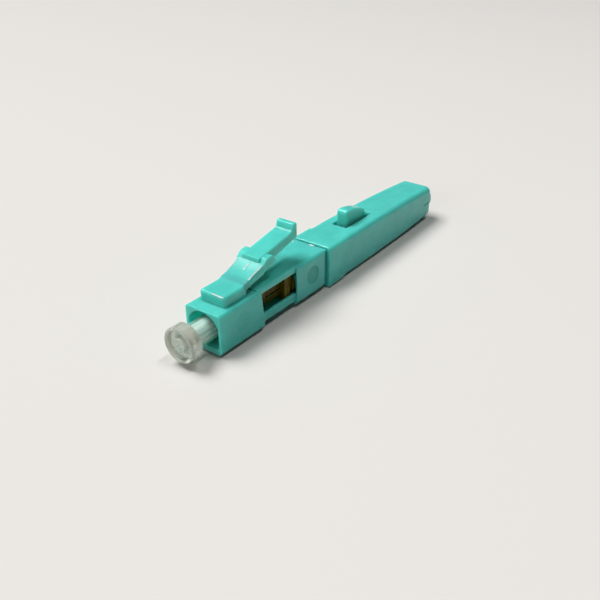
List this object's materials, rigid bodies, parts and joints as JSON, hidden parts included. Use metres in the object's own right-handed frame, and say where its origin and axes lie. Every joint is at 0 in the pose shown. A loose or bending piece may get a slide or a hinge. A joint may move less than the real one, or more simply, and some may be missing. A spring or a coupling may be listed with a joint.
{
  "type": "lc fibre connector",
  "caption": "Fibre-optic plug with a square nose, a flexing latch lever, side windows and a long tapered tail sleeve with a raised release button, for fitting to a cable by hand.",
  "frame": {"origin": "centre of the plug's front face, on the ferrule's axis", "axes": "+X along the ferrule's axis from the plug's front face to the tail, +Z towards the latch"},
  "size_m": [0.0456, 0.0052, 0.0093],
  "materials": {
    "aqua_plastic": "satin moulded plastic",
    "clear_plastic": "soft clear plastic",
    "white_ceramic": "polished",
    "steel": "bright",
    "fibre_glass": "clear",
    "amber_plastic": "dark amber plastic"
  },
  "bodies": {
    "plug": {"plug_housing": "aqua_plastic", "inner_body": "aqua_plastic", "tail_sleeve": "aqua_plastic", "cable_clamp_upper": "aqua_plastic", "cable_clamp_lower": "aqua_plastic", "return_spring": "steel"},
    "ferrule_and_splice": {"ferrule": "white_ceramic", "ferrule_flange": "steel", "fibre_stub": "fibre_glass", "splice_base": "amber_plastic", "splice_cover_front": "amber_plastic", "splice_cover_rear": "amber_plastic", "splice_clip_front": "steel", "splice_clip_rear": "steel", "entry_funnel": "amber_plastic"},
    "cap": {"dust_cap": "clear_plastic"},
    "latch": {"latch_lever": "aqua_plastic"},
    "button": {"release_button": "aqua_plastic"}
  },
  "joints": [
    {"name": "latch_flex", "type": "hinge", "parent": "plug", "child": "latch", "pos_m": [0.00495, 0, 0.00324], "axis": [0, 1, 0], "range_deg": [0, 12], "stiffness_Nm_per_rad": 0.05},
    {"name": "button_press", "type": "hinge", "parent": "plug", "child": "button", "pos_m": [0.03075, 0, 0.00143], "axis": [0, -1, 0], "range_deg": [0, 10], "stiffness_Nm_per_rad": 0.05},
    {"name": "ferrule_float", "type": "slide", "parent": "plug", "child": "ferrule_and_splice", "axis": [1, 0, 0], "range_m": [0, 0.0006], "stiffness_N_per_m": 800, "deforming": ["return_spring"]},
    {"name": "cap_pull", "type": "slide", "parent": "ferrule_and_splice", "child": "cap", "axis": [-1, 0, 0], "range_m": [0, 0.012]}
  ]
}
